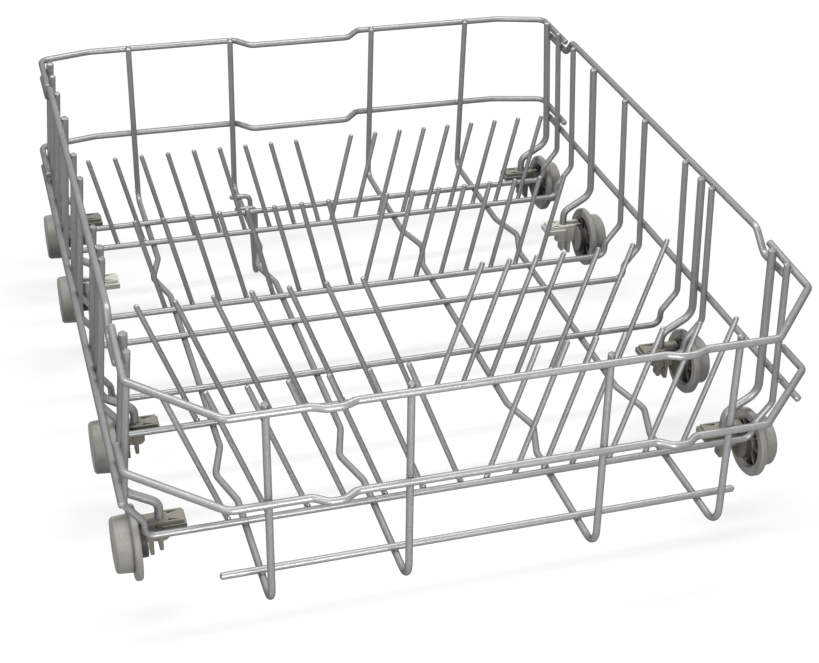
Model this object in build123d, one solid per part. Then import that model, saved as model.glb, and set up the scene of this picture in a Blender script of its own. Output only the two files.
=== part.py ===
from build123d import *
import os
from math import atan, cos, radians, sin, tan

# Lower basket of a dishwasher: coated steel wires welded crosswise, on eight flanged rollers.
# X runs to the right, Y to the rear, Z up. The origin is under the middle, where the rollers stand.

# Wire gauges over the coating
RIM_WIRE = 5.3
LONG_WIRE = 5.0
CROSS_WIRE = 5.0
HOOK_WIRE = 6.2
TINE_WIRE = 4.0
LOOP_WIRE = 4.6

# How far two welded wires are set into each other
WELD_SINK = 0.3
TINE_SINK = 0.25

# How far the free ends of the frame wires are chamfered
END_CHAMFER = 1.3

# Rollers
TREAD_R = 19.6
TREAD_TAPER = 0.7
FLANGE_R = 26.5
FLANGE_WIDTH = 5.0
FLANGE_CHAMFER = 1.0
TREAD_ROUND = 1.5
ROLLER_WIDTH = 17.2
ROLLER_GAP = 1.3
ROLLER_WALL = 1.6
ROLLER_WEB = 4.0
ROLLER_HUB_R = 8.0
MOUTH_R = 19.8
MOUTH_DEPTH = 2.6
ROLLER_RIBS = 8
RIB_WIDTH = 1.3
RIB_SETBACK = 2.6
AXLE_R = 4.0
AXLE_CLEARANCE = 0.08
AXLE_HEAD_R = 5.4
AXLE_HEAD_LENGTH = 1.4
HEAD_CLEARANCE = 0.6

# The floor above the plane the rollers stand on, and the rims above the floor
FLOOR_Z = 40.0
SIDE_TOP_HEIGHT = 149.0
SIDE_END_HEIGHT = 134.5
SIDE_MID_HEIGHT = 50.5
REAR_TOP_HEIGHT = 143.3
REAR_MID_HEIGHT = 61.3
FRONT_TOP_HEIGHT = 143.0
FRONT_MID_HEIGHT = 77.5

# Cross wires of the floor, front to rear, by their distance behind the middle
CROSS_Y = {
    "front": -211.0,
    "front_second": -93.3,
    "middle_front": -47.3,
    "middle": 29.6,
    "middle_rear": 70.4,
    "rear_second": 186.5,
    "rear": 223.0,
}
BAR_Y = -262.5
BAR_OVERHANG = 28.0

# Side uprights: a low step outward, then a slight lean inward up to the rim
STEP_OUT_X = 238.6
STEP_DEPTH = 12.5
STEP_LOW_HEIGHT = 13.0
STEP_HIGH_HEIGHT = 30.0
UPRIGHT_LEAN = 0.08
UPRIGHT_TIP = 2.0
FLOOR_BEND = 7.0
STEP_BEND = 9.0

# Long wires, with two outward kinks each where they pass between the rows
LONG_X = {"left_outer": -157.5, "left_inner": -66.2, "right_inner": 66.2, "right_outer": 157.5}
LONG_REAR_Y = 280.2
LONG_FRONT_TOP_Y = -282.6
LONG_FRONT_LOW_Y = -293.5
LONG_REAR_BEND = 9.0
LONG_FRONT_BEND = 14.0
LONG_REAR_TIP = 3.0
LONG_FRONT_TIP = 4.8
KINK_DEPTH = 9.5
KINK_HALF = 32.0
KINK_BEND = 16.0
KINK_YS = (133.0, -150.0)

# Rear rims: a recess for the feed pipe, ends turned forward round the corners
PIPE_RECESS = 15.0
PIPE_HALF = 45.0
PIPE_RUN = 13.0
PIPE_CENTRE_X = -4.0
PIPE_BEND = 8.0
REAR_KNEE_X = 192.0
REAR_KNEE_BEND = 27.0
REAR_SETBACK = 11.0
REAR_RETURN_PAST = 7.0
REAR_CORNER_BEND = 9.0

# Front rims: chamfered corners and two shallow waves that seat a handle
FRONT_CHAMFER_X = 183.0
FRONT_CHAMFER_Y = 54.0
FRONT_TOP_RETURN_PAST = 15.5
FRONT_MID_RETURN_PAST = 3.5
FRONT_TOP_RISE = 4.0
FRONT_MID_RISE = 0.0
FRONT_CORNER_BEND = 8.0
WAVE_X = 116.5
WAVE_HALF = 5.0
WAVE_RUN = 9.0
WAVE_BEND = 8.0
TOP_WAVE = 4.0
MID_WAVE = 6.5

# Side rims: the top one dips under the rear and the front rims' returned ends
SIDE_REAR_PAST = 8.0
SIDE_FRONT_PAST = 10.5
SIDE_MID_FRONT_PAST = 27.0
SIDE_REAR_DIP = 15.5
SIDE_FRONT_DIP = 19.0
SIDE_DIP_RUN = 14.0
SIDE_DIP_BEND = 9.0

# Hook wires that carry the rollers, each behind a cross wire, front to rear
HOOK_BEHIND = {"front": 20.5, "front_second": 16.3, "middle_rear": 67.0, "rear": 27.0}
HOOK_KNEE_HEIGHT = 26.0
HOOK_PEG_HEIGHT = 11.0
HOOK_END_DROP = 12.0
HOOK_KNEE_BEND = 14.0
HOOK_PEG_BEND = 9.0

# Tines: a row per cross wire, both halves leaning away from the middle and a little to the rear
REAR_ROW_LEAN = 0.241
REAR_ROW_BACK = 0.076
REAR_ROW_TIP = 80.0
FRONT_ROW_LEAN = 0.384
FRONT_ROW_BACK = 0.154
FRONT_ROW_TIP = 96.5
TINE_FOOT = 4.0
REAR_TINES_PER_BAY = 4
REAR_TINE_FIRST = 6.0
REAR_TINES = 9
INNER_TINES = 8
FRONT_LEFT_FIRST = 1.6
FRONT_LEFT_PITCH = 27.9
FRONT_LEFT_TINES = 7
FRONT_RIGHT_FIRST = 18.0
FRONT_NARROW_PITCH = 22.0
FRONT_NARROW_TINES = 4
FRONT_END_PITCH = 29.0
FRONT_END_TINES = 3

# Hanging loop at the rear, over the left inner long wire
LOOP_REAR_Y = 255.0
LOOP_FRONT_Y = 230.5
LOOP_LOW_REAR_Y = 238.0
LOOP_ARM = 19.0
LOOP_DROP = 69.0
LOOP_BEND = 5.0
LOOP_TURN = 3.2

# Roller carriers: a socket on the hook's peg, a fan-shaped grip, a plate and a stub axle
AXLE_AHEAD = 8.0
PLATE_R = 11.5
PLATE_WIDTH = 5.3
PLATE_GAP = 0.5
PEG_WALL = 7.4
PEG_CLEARANCE = 0.1
SOCKET_R = 6.6
SOCKET_LOW_DROP = 18.0
NECK_WIDTH = 11.0
GRIP_REACH = 16.0
GRIP_WIDTH = 13.0
GRIP_TOP_DROP = 1.5
GRIP_LOW_DROP = 8.7
GRIP_WALL = 1.4
GRIP_WEDGE = 1.2
GRIP_POCKET = 4.8
LEDGE_HEIGHT = 4.4
LEDGE_OUT = 1.7
FORK_SPAN = 6.6
FORK_PRONG = 2.8
FORK_WIDTH = 8.0
FORK_LONG_DROP = 31.0
FORK_SHORT_DROP = 28.0

# Places that follow from the sizes above
SIDE_TOP_Z = FLOOR_Z + SIDE_TOP_HEIGHT
SIDE_END_Z = FLOOR_Z + SIDE_END_HEIGHT
SIDE_MID_Z = FLOOR_Z + SIDE_MID_HEIGHT
REAR_TOP_Z = FLOOR_Z + REAR_TOP_HEIGHT
REAR_MID_Z = FLOOR_Z + REAR_MID_HEIGHT
FRONT_TOP_Z = FLOOR_Z + FRONT_TOP_HEIGHT
FRONT_MID_Z = FLOOR_Z + FRONT_MID_HEIGHT
STEP_LOW_Z = FLOOR_Z + STEP_LOW_HEIGHT
STEP_HIGH_Z = FLOOR_Z + STEP_HIGH_HEIGHT
HOOK_KNEE_Z = FLOOR_Z + HOOK_KNEE_HEIGHT
HOOK_PEG_Z = FLOOR_Z + HOOK_PEG_HEIGHT
HOOK_END_Z = FLOOR_Z - HOOK_END_DROP
LOOP_LOW_Z = FLOOR_Z - LOOP_DROP
GRIP_TOP_Z = FLOOR_Z - GRIP_TOP_DROP
GRIP_LOW_Z = FLOOR_Z - GRIP_LOW_DROP
SOCKET_LOW_Z = FLOOR_Z - SOCKET_LOW_DROP
HOOK_Y = [CROSS_Y[wire] + behind for wire, behind in HOOK_BEHIND.items()]
LONG_Z = FLOOR_Z - (CROSS_WIRE + LONG_WIRE) / 2 + WELD_SINK
RIM_OFF_CROSS = (CROSS_WIRE + RIM_WIRE) / 2 - WELD_SINK
RIM_OFF_LONG = (LONG_WIRE + RIM_WIRE) / 2 - WELD_SINK
STEP_IN_X = STEP_OUT_X - STEP_DEPTH
REAR_RETURN_Y = CROSS_Y["rear"] - REAR_RETURN_PAST
FRONT_TOP_RETURN_Y = HOOK_Y[0] + FRONT_TOP_RETURN_PAST
FRONT_MID_RETURN_Y = CROSS_Y["front"] + FRONT_MID_RETURN_PAST
SIDE_REAR_Y = HOOK_Y[-1] + SIDE_REAR_PAST
SIDE_REAR_DIP_Y = REAR_RETURN_Y - SIDE_REAR_DIP
SIDE_FRONT_DIP_Y = FRONT_TOP_RETURN_Y + SIDE_FRONT_DIP
SIDE_FRONT_Y = HOOK_Y[0] - SIDE_FRONT_PAST
SIDE_MID_FRONT_Y = CROSS_Y["front"] - SIDE_MID_FRONT_PAST
AXLE_Z = FLANGE_R
ROLLER_FACE_X = STEP_IN_X + CROSS_WIRE / 2 + ROLLER_GAP
ROLLER_OUTER_X = ROLLER_FACE_X + ROLLER_WIDTH
PLATE_OUTER_X = ROLLER_FACE_X - PLATE_GAP
PLATE_INNER_X = PLATE_OUTER_X - PLATE_WIDTH
HOOK_INSET = (HOOK_WIRE - CROSS_WIRE) / 2
HOOK_PEG_X = PLATE_INNER_X - PEG_WALL - PEG_CLEARANCE - HOOK_WIRE / 2
GRIP_INNER_X = HOOK_PEG_X - GRIP_REACH
LOOP_LEG_X = LONG_X["left_inner"] + LOOP_ARM / 2
REAR_TINE_PITCH = (LONG_X["right_outer"] - LONG_X["right_inner"]) / REAR_TINES_PER_BAY


def bent_wire(corners, bends, gauge):
    """A round wire along straight runs, with one bend radius per inner corner."""
    points = [Vector(*c) for c in corners]
    edges = []
    start = points[0]
    for i in range(1, len(points) - 1):
        corner = points[i]
        back = (points[i - 1] - corner).normalized()
        ahead = (points[i + 1] - corner).normalized()
        half = radians(back.get_angle(ahead) / 2)
        radius = bends[i - 1]
        enter = corner + back * (radius / tan(half))
        leave = corner + ahead * (radius / tan(half))
        middle = corner + (back + ahead).normalized() * (radius / sin(half) - radius)
        edges.append(Line(start, enter).edge())
        edges.append(ThreePointArc(enter, middle, leave).edge())
        start = leave
    edges.append(Line(start, points[-1]).edge())
    path = Wire(edges)
    section = Plane(origin=points[0], z_dir=points[1] - points[0]) * Circle(gauge / 2)
    return sweep(section, path=path)


def frame_wire(corners, bends, gauge):
    """A bent wire with both of its ends chamfered."""
    wire = bent_wire(corners, bends, gauge)
    return chamfer(wire.faces().filter_by(GeomType.PLANE).edges(), END_CHAMFER)


def upright_x(z):
    """Where the axis of a cross wire's upright is, at a height above its step."""
    return STEP_OUT_X - (z - STEP_HIGH_Z) * UPRIGHT_LEAN


def side_rim_x(z):
    """Where a rim's axis runs along the outer side of the uprights."""
    return upright_x(z) + RIM_OFF_CROSS


def long_front_y(z):
    """Where the axis of a long wire's front upright is, at a height."""
    share = (z - LONG_Z) / (FRONT_TOP_Z - LONG_Z)
    return LONG_FRONT_LOW_Y + share * (LONG_FRONT_TOP_Y - LONG_FRONT_LOW_Y)


def both_sides(half):
    """Points of the right half, from the middle out, joined to their mirror image."""
    return [(-x, y, z) for x, y, z in reversed(half)] + half


def cross_wire(y):
    top = SIDE_TOP_Z + UPRIGHT_TIP
    half = [
        (STEP_IN_X, y, FLOOR_Z),
        (STEP_IN_X, y, STEP_LOW_Z),
        (STEP_OUT_X, y, STEP_HIGH_Z),
        (upright_x(top), y, top),
    ]
    bends = [STEP_BEND, STEP_BEND, FLOOR_BEND]
    return frame_wire(both_sides(half), bends + bends[::-1], CROSS_WIRE)


def long_wire(x):
    outward = 1 if x > 0 else -1
    points = [(x, LONG_REAR_Y, REAR_TOP_Z + LONG_REAR_TIP), (x, LONG_REAR_Y, LONG_Z)]
    bends = [LONG_REAR_BEND]
    for y in KINK_YS:
        points.append((x, y + KINK_HALF, LONG_Z))
        points.append((x + outward * KINK_DEPTH, y, LONG_Z))
        points.append((x, y - KINK_HALF, LONG_Z))
        bends += [KINK_BEND] * 3
    tip_z = FRONT_TOP_Z + LONG_FRONT_TIP
    points.append((x, LONG_FRONT_LOW_Y, LONG_Z))
    points.append((x, long_front_y(tip_z), tip_z))
    bends.append(LONG_FRONT_BEND)
    return frame_wire(points, bends, LONG_WIRE)


def rear_rim(z):
    y = LONG_REAR_Y + RIM_OFF_LONG
    x = side_rim_x(z)
    left = PIPE_CENTRE_X - PIPE_HALF
    right = PIPE_CENTRE_X + PIPE_HALF
    points = [
        (-x, REAR_RETURN_Y, z),
        (-x, y - REAR_SETBACK, z),
        (-REAR_KNEE_X, y, z),
        (left - PIPE_RUN, y, z),
        (left, y - PIPE_RECESS, z),
        (right, y - PIPE_RECESS, z),
        (right + PIPE_RUN, y, z),
        (REAR_KNEE_X, y, z),
        (x, y - REAR_SETBACK, z),
        (x, REAR_RETURN_Y, z),
    ]
    left_bends = [REAR_CORNER_BEND, REAR_KNEE_BEND, PIPE_BEND, PIPE_BEND]
    return frame_wire(points, left_bends + left_bends[::-1], RIM_WIRE)


def front_rim(z, wave, return_y, rise):
    y = long_front_y(z) - RIM_OFF_LONG
    half = [
        (WAVE_X - WAVE_HALF - WAVE_RUN, y, z),
        (WAVE_X - WAVE_HALF, y - wave, z),
        (WAVE_X + WAVE_HALF, y - wave, z),
        (WAVE_X + WAVE_HALF + WAVE_RUN, y, z),
        (FRONT_CHAMFER_X, y, z),
        (side_rim_x(z), y + FRONT_CHAMFER_Y, z),
        (side_rim_x(z + rise), return_y, z + rise),
    ]
    bends = [FRONT_CORNER_BEND] * 2 + [WAVE_BEND] * 4
    return frame_wire(both_sides(half), bends + bends[::-1], RIM_WIRE)


def side_top_rim(side):
    high = side * side_rim_x(SIDE_TOP_Z)
    low = side * side_rim_x(SIDE_END_Z)
    points = [
        (low, SIDE_REAR_Y, SIDE_END_Z),
        (low, SIDE_REAR_DIP_Y + SIDE_DIP_RUN, SIDE_END_Z),
        (high, SIDE_REAR_DIP_Y, SIDE_TOP_Z),
        (high, SIDE_FRONT_DIP_Y, SIDE_TOP_Z),
        (low, SIDE_FRONT_DIP_Y - SIDE_DIP_RUN, SIDE_END_Z),
        (low, SIDE_FRONT_Y, SIDE_END_Z),
    ]
    return frame_wire(points, [SIDE_DIP_BEND] * 4, RIM_WIRE)


def side_mid_rim(side):
    x = side * side_rim_x(SIDE_MID_Z)
    ends = [(x, SIDE_REAR_Y, SIDE_MID_Z), (x, SIDE_MID_FRONT_Y, SIDE_MID_Z)]
    return frame_wire(ends, [], RIM_WIRE)


def hook_wire(side, y):
    top = SIDE_TOP_Z + UPRIGHT_TIP
    points = [
        (side * (upright_x(top) - HOOK_INSET), y, top),
        (side * (upright_x(HOOK_KNEE_Z) - HOOK_INSET), y, HOOK_KNEE_Z),
        (side * HOOK_PEG_X, y, HOOK_PEG_Z),
        (side * HOOK_PEG_X, y, HOOK_END_Z),
    ]
    return frame_wire(points, [HOOK_KNEE_BEND, HOOK_PEG_BEND], HOOK_WIRE)


def tine_row(y, places, lean, back, tip):
    """Straight tines welded behind one cross wire, each leaning to its own side."""
    axis_gap = (CROSS_WIRE + TINE_WIRE) / 2 - TINE_SINK
    y_foot = y + axis_gap / cos(atan(back))
    tines = []
    for x in places:
        outward = 1 if x > 0 else -1
        low = (x - outward * lean * TINE_FOOT, y_foot - back * TINE_FOOT, FLOOR_Z - TINE_FOOT)
        high = (x + outward * lean * tip, y_foot + back * tip, FLOOR_Z + tip)
        tines.append(bent_wire([low, high], [], TINE_WIRE))
    return Compound(children=tines)


def places(first, count, pitch):
    """Evenly spaced tine places from the innermost out."""
    return [first + pitch * i for i in range(count)]


def leftward(xs):
    return [-x for x in xs]


def hanging_loop():
    z = LONG_Z + (LONG_WIRE + LOOP_WIRE) / 2 - WELD_SINK
    points = [
        (LOOP_LEG_X - LOOP_ARM, LOOP_REAR_Y, z),
        (LOOP_LEG_X, LOOP_REAR_Y, z),
        (LOOP_LEG_X, LOOP_LOW_REAR_Y, LOOP_LOW_Z),
        (LOOP_LEG_X, LOOP_FRONT_Y, LOOP_LOW_Z),
        (LOOP_LEG_X, LOOP_FRONT_Y, z),
        (LOOP_LEG_X - LOOP_ARM, LOOP_FRONT_Y, z),
    ]
    return frame_wire(points, [LOOP_BEND, LOOP_TURN, LOOP_TURN, LOOP_BEND], LOOP_WIRE)


def roller():
    """Roller of the right side about the X axis: tread outside, flange inside, ribbed pocket."""
    step_x = ROLLER_FACE_X + FLANGE_WIDTH
    pocket_r = TREAD_R - ROLLER_WALL
    pocket_depth = ROLLER_WIDTH - ROLLER_WEB
    bore_r = AXLE_R + AXLE_CLEARANCE
    outline = [
        (ROLLER_FACE_X, 0),
        (ROLLER_FACE_X, FLANGE_R - FLANGE_CHAMFER),
        (ROLLER_FACE_X + FLANGE_CHAMFER, FLANGE_R),
        (step_x - FLANGE_CHAMFER, FLANGE_R),
        (step_x, FLANGE_R - FLANGE_CHAMFER),
        (step_x, TREAD_R + TREAD_TAPER),
        (ROLLER_OUTER_X - TREAD_ROUND, TREAD_R),
        (ROLLER_OUTER_X, TREAD_R - TREAD_ROUND),
        (ROLLER_OUTER_X, 0),
    ]
    profile = make_face(Polyline(*outline, close=True))
    body = revolve(profile, Axis.X)
    mouth = [
        (ROLLER_FACE_X, pocket_r),
        (ROLLER_FACE_X, MOUTH_R),
        (ROLLER_FACE_X + MOUTH_DEPTH, pocket_r),
    ]
    body -= revolve(make_face(Polyline(*mouth, close=True)), Axis.X)
    across = Plane(origin=(ROLLER_FACE_X, 0, 0), x_dir=(0, 1, 0), z_dir=(1, 0, 0))
    ring = Circle(pocket_r) - Circle(ROLLER_HUB_R)
    pocket = extrude(across * ring, amount=pocket_depth)
    for i in range(ROLLER_RIBS):
        low = ROLLER_FACE_X + RIB_SETBACK
        rib = Box(pocket_depth, pocket_r, RIB_WIDTH, align=(Align.MIN, Align.MIN, Align.CENTER))
        turned = Rot(360 * i / ROLLER_RIBS, 0, 0) * (Pos(low, 0, 0) * rib)
        pocket -= turned
    body -= pocket
    body -= extrude(across * Circle(bore_r), amount=ROLLER_WIDTH)
    seat = Plane(origin=(ROLLER_OUTER_X, 0, 0), x_dir=(0, 1, 0), z_dir=(-1, 0, 0))
    seat_depth = AXLE_HEAD_LENGTH + HEAD_CLEARANCE
    body -= extrude(seat * Circle(AXLE_HEAD_R + HEAD_CLEARANCE), amount=seat_depth)
    return body


def grip_pocket(side):
    """Blind triangular pocket of the grip, wide at the socket, on one side of its middle wedge."""
    edge = side * (GRIP_WIDTH / 2 - GRIP_WALL)
    corners = [
        (HOOK_PEG_X, side * GRIP_WEDGE / 2),
        (HOOK_PEG_X, edge),
        (GRIP_INNER_X + GRIP_WALL, edge),
    ]
    return extrude(make_face(Polyline(*corners, close=True)), amount=GRIP_POCKET, dir=(0, 0, -1))


def carrier():
    """Carrier of the right side, its axle on the X axis and its socket round the hook's peg."""
    grip_top = GRIP_TOP_Z - AXLE_Z
    grip_low = GRIP_LOW_Z - AXLE_Z
    socket_low = SOCKET_LOW_Z - AXLE_Z
    plate_side = Plane(origin=(PLATE_INNER_X, 0, 0), x_dir=(0, 1, 0), z_dir=(1, 0, 0))
    disc = plate_side * Circle(PLATE_R)
    neck = plate_side * Pos(AXLE_AHEAD, grip_top / 2) * Rectangle(NECK_WIDTH, grip_top)
    body = extrude(disc + neck, amount=PLATE_WIDTH)
    axle_end = ROLLER_OUTER_X - AXLE_HEAD_LENGTH
    axle_side = Plane(origin=(PLATE_OUTER_X, 0, 0), x_dir=(0, 1, 0), z_dir=(1, 0, 0))
    body += extrude(axle_side * Circle(AXLE_R), amount=ROLLER_OUTER_X - PLATE_OUTER_X)
    head_side = Plane(origin=(axle_end, 0, 0), x_dir=(0, 1, 0), z_dir=(1, 0, 0))
    body += extrude(head_side * Circle(AXLE_HEAD_R), amount=AXLE_HEAD_LENGTH)
    on_floor = (Align.MIN, Align.CENTER, Align.MIN)
    on_axis = (Align.CENTER, Align.CENTER, Align.MIN)
    grip = Box(GRIP_REACH, GRIP_WIDTH, grip_top - grip_low, align=on_floor)
    body += Pos(GRIP_INNER_X, AXLE_AHEAD, grip_low) * grip
    ledge = Box(GRIP_REACH + LEDGE_OUT, GRIP_WIDTH + 2 * LEDGE_OUT, LEDGE_HEIGHT, align=on_floor)
    body += Pos(GRIP_INNER_X - LEDGE_OUT, AXLE_AHEAD, grip_low) * ledge
    for side in (-1, 1):
        body -= Pos(0, AXLE_AHEAD, grip_top) * grip_pocket(side)
    socket_height = grip_top - socket_low
    socket = Cylinder(SOCKET_R, socket_height, align=on_axis)
    bridge = Box(PLATE_INNER_X - HOOK_PEG_X, NECK_WIDTH, socket_height, align=on_floor)
    body += Pos(HOOK_PEG_X, AXLE_AHEAD, socket_low) * (socket + bridge)
    prongs = {HOOK_PEG_X: FORK_SHORT_DROP, HOOK_PEG_X + FORK_SPAN: FORK_LONG_DROP}
    for x, drop in prongs.items():
        prong = Box(FORK_PRONG, FORK_WIDTH, drop - SOCKET_LOW_DROP, align=on_axis)
        body += Pos(x, AXLE_AHEAD, FLOOR_Z - drop - AXLE_Z) * prong
    hole = Cylinder(HOOK_WIRE / 2 + PEG_CLEARANCE, GRIP_TOP_Z - HOOK_END_Z, align=on_axis)
    body -= Pos(HOOK_PEG_X, AXLE_AHEAD, HOOK_END_Z - AXLE_Z) * hole
    return body


nodes = {}

# Floor and frame wires
for name, y in CROSS_Y.items():
    nodes["cross_wire_" + name] = cross_wire(y)
bar_half = LONG_X["right_outer"] + BAR_OVERHANG
nodes["front_bar"] = frame_wire(both_sides([(bar_half, BAR_Y, FLOOR_Z)]), [], CROSS_WIRE)
for name, x in LONG_X.items():
    nodes["long_wire_" + name] = long_wire(x)

# Rims
nodes["rim_rear_top"] = rear_rim(REAR_TOP_Z)
nodes["rim_rear_mid"] = rear_rim(REAR_MID_Z)
nodes["rim_front_top"] = front_rim(FRONT_TOP_Z, TOP_WAVE, FRONT_TOP_RETURN_Y, FRONT_TOP_RISE)
nodes["rim_front_mid"] = front_rim(FRONT_MID_Z, MID_WAVE, FRONT_MID_RETURN_Y, FRONT_MID_RISE)
SIDES = {"left": -1, "right": 1}
for name, side in SIDES.items():
    nodes["rim_" + name + "_top"] = side_top_rim(side)
    nodes["rim_" + name + "_mid"] = side_mid_rim(side)

# Tines: even rows at the rear, wider ones at the front with a tighter group on the right
rear_right = places(REAR_TINE_FIRST, REAR_TINES, REAR_TINE_PITCH)
inner_right = places(REAR_TINE_FIRST, INNER_TINES, REAR_TINE_PITCH)
front_left = places(FRONT_LEFT_FIRST, FRONT_LEFT_TINES, FRONT_LEFT_PITCH)
front_narrow = places(FRONT_RIGHT_FIRST, FRONT_NARROW_TINES, FRONT_NARROW_PITCH)
front_end = places(front_narrow[-1] + FRONT_END_PITCH, FRONT_END_TINES, FRONT_END_PITCH)
front_row = leftward(front_left) + front_narrow + front_end
rear_lean = (REAR_ROW_LEAN, REAR_ROW_BACK, REAR_ROW_TIP)
front_lean = (FRONT_ROW_LEAN, FRONT_ROW_BACK, FRONT_ROW_TIP)
tine_rows = {
    "rear": ("rear_second", leftward(rear_right) + rear_right, rear_lean),
    "middle_rear": ("middle_rear", leftward(inner_right) + inner_right, rear_lean),
    "front_second": ("front_second", front_row, front_lean),
    "front": ("front", front_row, front_lean),
}
for name, (wire, row, lean) in tine_rows.items():
    nodes["tine_row_" + name] = tine_row(CROSS_Y[wire], row, *lean)

nodes["hanging_loop"] = hanging_loop()

# Hooks, carriers and rollers, right ones made once and the left ones mirrored
one_carrier = carrier()
one_roller = roller()
for name, side in SIDES.items():
    for i, y in enumerate(HOOK_Y):
        axle = Pos(0, y - AXLE_AHEAD, AXLE_Z)
        nodes[f"hook_{name}_{i + 1}"] = hook_wire(side, y)
        for kind, right_one in (("carrier", one_carrier), ("roller", one_roller)):
            piece = right_one if side > 0 else mirror(right_one, about=Plane.YZ)
            nodes[f"{kind}_{name}_{i + 1}"] = axle * piece

os.makedirs("parts", exist_ok=True)
for name, shape in nodes.items():
    export_step(shape, "parts/" + name + ".step")
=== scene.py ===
"""Finish and stage of a dishwasher's lower basket: coated wires, welds, tine tips, rollers and carriers."""

from math import cos, pi, radians, sin, sqrt

import bmesh
import bpy
from bpy.props import FloatProperty, FloatVectorProperty, IntProperty, PointerProperty
from mathutils import Matrix, Quaternion, Vector
from mathutils.bvhtree import BVHTree
from mathutils.geometry import intersect_ray_tri


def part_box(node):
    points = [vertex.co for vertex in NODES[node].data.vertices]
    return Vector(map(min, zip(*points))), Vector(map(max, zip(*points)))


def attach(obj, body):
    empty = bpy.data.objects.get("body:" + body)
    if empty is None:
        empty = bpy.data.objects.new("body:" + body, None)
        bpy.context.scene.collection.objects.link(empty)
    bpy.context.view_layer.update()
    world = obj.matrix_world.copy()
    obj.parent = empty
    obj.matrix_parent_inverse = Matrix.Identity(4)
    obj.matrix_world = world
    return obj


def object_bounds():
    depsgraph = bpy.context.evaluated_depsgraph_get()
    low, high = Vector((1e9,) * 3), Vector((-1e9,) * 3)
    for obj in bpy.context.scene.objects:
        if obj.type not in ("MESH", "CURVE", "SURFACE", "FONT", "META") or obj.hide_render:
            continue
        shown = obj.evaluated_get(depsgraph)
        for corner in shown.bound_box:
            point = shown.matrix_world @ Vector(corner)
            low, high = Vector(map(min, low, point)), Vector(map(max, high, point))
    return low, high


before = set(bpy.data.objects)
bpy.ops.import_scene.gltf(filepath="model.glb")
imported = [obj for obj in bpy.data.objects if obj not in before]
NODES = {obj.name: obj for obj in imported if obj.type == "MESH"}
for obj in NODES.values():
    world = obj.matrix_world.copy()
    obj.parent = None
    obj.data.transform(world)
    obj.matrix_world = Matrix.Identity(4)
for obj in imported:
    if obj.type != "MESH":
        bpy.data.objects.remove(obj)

bl_info = {
    "name": "Dishwasher basket finish",
    "version": (1, 0, 0),
    "blender": (4, 5, 0),
    "location": "View3D > Sidebar > Basket",
    "description": "Coats, welds and stages a wire dishwasher basket around its packed solids",
    "category": "Object",
}

CAD_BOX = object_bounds()
BASKET = "basket"
MM = 0.001

FRAME_WIRES = [n for n in NODES if n.startswith(("cross_", "long_", "front_bar", "rim_", "hook_", "hanging_"))]
TINE_ROWS = [n for n in NODES if n.startswith("tine_row_")]
ROLLERS = [n for n in NODES if n.startswith("roller_")]
CARRIERS = [n for n in NODES if n.startswith("carrier_")]
PLACES = ("_1", "_2", "_3", "_4")
PALE_PLACE = "_3"

# Share of pale flecks in the coat of each kind of piece; over 1 they run together. The welds, tine feet and tine
# tips take far more than the wires, so that they come out lighter: a painted highlight.
WIRE_FLECKS = 0.12
WELD_HIGHLIGHT_FLECKS = 1.6
FOOT_HIGHLIGHT_FLECKS = 1.2
TIP_HIGHLIGHT_FLECKS = 0.6
COAT_BUMP = 0.5
COAT_SPECULAR = 0.05

ROLLER_SCUFFS = 0.12
CARRIER_SCUFFS = 0.2
PLASTIC_BUMP = 0.4
PLASTIC_SPECULAR = 0.15
GRAIN_HEIGHT = 0.05 * MM
OUTER_WALL = 1.0 * MM

# Noise scales, in turns for each metre
DRIFT_SCALE = 38.0
RIPPLE_SCALE = 240.0
MOTTLE_SCALE = 110.0
SCUFF_SCALE = 420.0
GRAIN_SCALE = 2600.0

# Welds closer than this are one weld
WELD_GAP = 4.0 * MM
MERGE_DISTANCE = 0.001 * MM

# Rings of a saddle from the lower wire to the upper one, and its form between them
SADDLE_DEPTHS = (-1.0, -0.55, 0.0, 0.55, 1.0)
SADDLE_WAIST = 0.5
SADDLE_SPAN = 0.56
SADDLE_SAG = 0.04 * MM
WELD_SIZE_SPREAD = 0.08
FOOT_SIZE_SPREAD = 0.1
SCATTER_SEED = 7

TIP_SPOKES = 14
TIP_STEPS = 5

FLOOR_DROP = 1.0 * MM
SENSOR_WIDTH = 36.0

# Each lamp's name, place, aim, width and length, and the setting with its power
LAMPS = (
    ("key_lamp", (0.0, 0.15, 1.25), (0.0, 0.1, 0.0), (2.0, 0.2), "key_power"),
    ("side_lamp", (-0.9, -0.85, 0.9), (0.0, -0.1, 0.1), (0.5, 0.5), "side_power"),
    ("fill_lamp", (-0.08, -0.86, 0.3), (0.0, -0.2, 0.1), (0.3, 0.3), "fill_power"),
    ("back_lamp", (0.4, 1.4, 0.3), (0.0, 0.2, 0.1), (0.8, 0.5), "back_power"),
)


# Properties


class WireFinish(bpy.types.PropertyGroup):
    """Colour and surface of the coat on the wires."""

    colour: FloatVectorProperty(
        name="Coat colour", description="Silver-grey of the coat", subtype="COLOR",
        default=(0.23, 0.23, 0.23), min=0.0, max=1.0)
    fleck: FloatVectorProperty(
        name="Fleck colour", description="Pale metallic flecks in the coat", subtype="COLOR",
        default=(0.48, 0.48, 0.48), min=0.0, max=1.0)
    edge: FloatVectorProperty(
        name="Edge tint", description="Tint of the pigment's reflection at a grazing angle", subtype="COLOR",
        default=(0.0, 0.0, 0.0), min=0.0, max=1.0)
    metallic: FloatProperty(
        name="Metallic", description="How metallic the pigment of the coat looks", subtype="FACTOR",
        default=0.5, min=0.0, max=1.0)
    roughness: FloatProperty(
        name="Roughness", description="Mean roughness of the coat", subtype="FACTOR",
        default=0.4, min=0.0, max=1.0)
    fleck_size: FloatProperty(
        name="Fleck size", description="Spacing of the flecks", unit="LENGTH",
        default=1.2 * MM, min=0.1 * MM)
    ripple: FloatProperty(
        name="Ripple height", description="Depth of the ripple in the dipped coat", unit="LENGTH",
        default=0.03 * MM, min=0.0)


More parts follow.
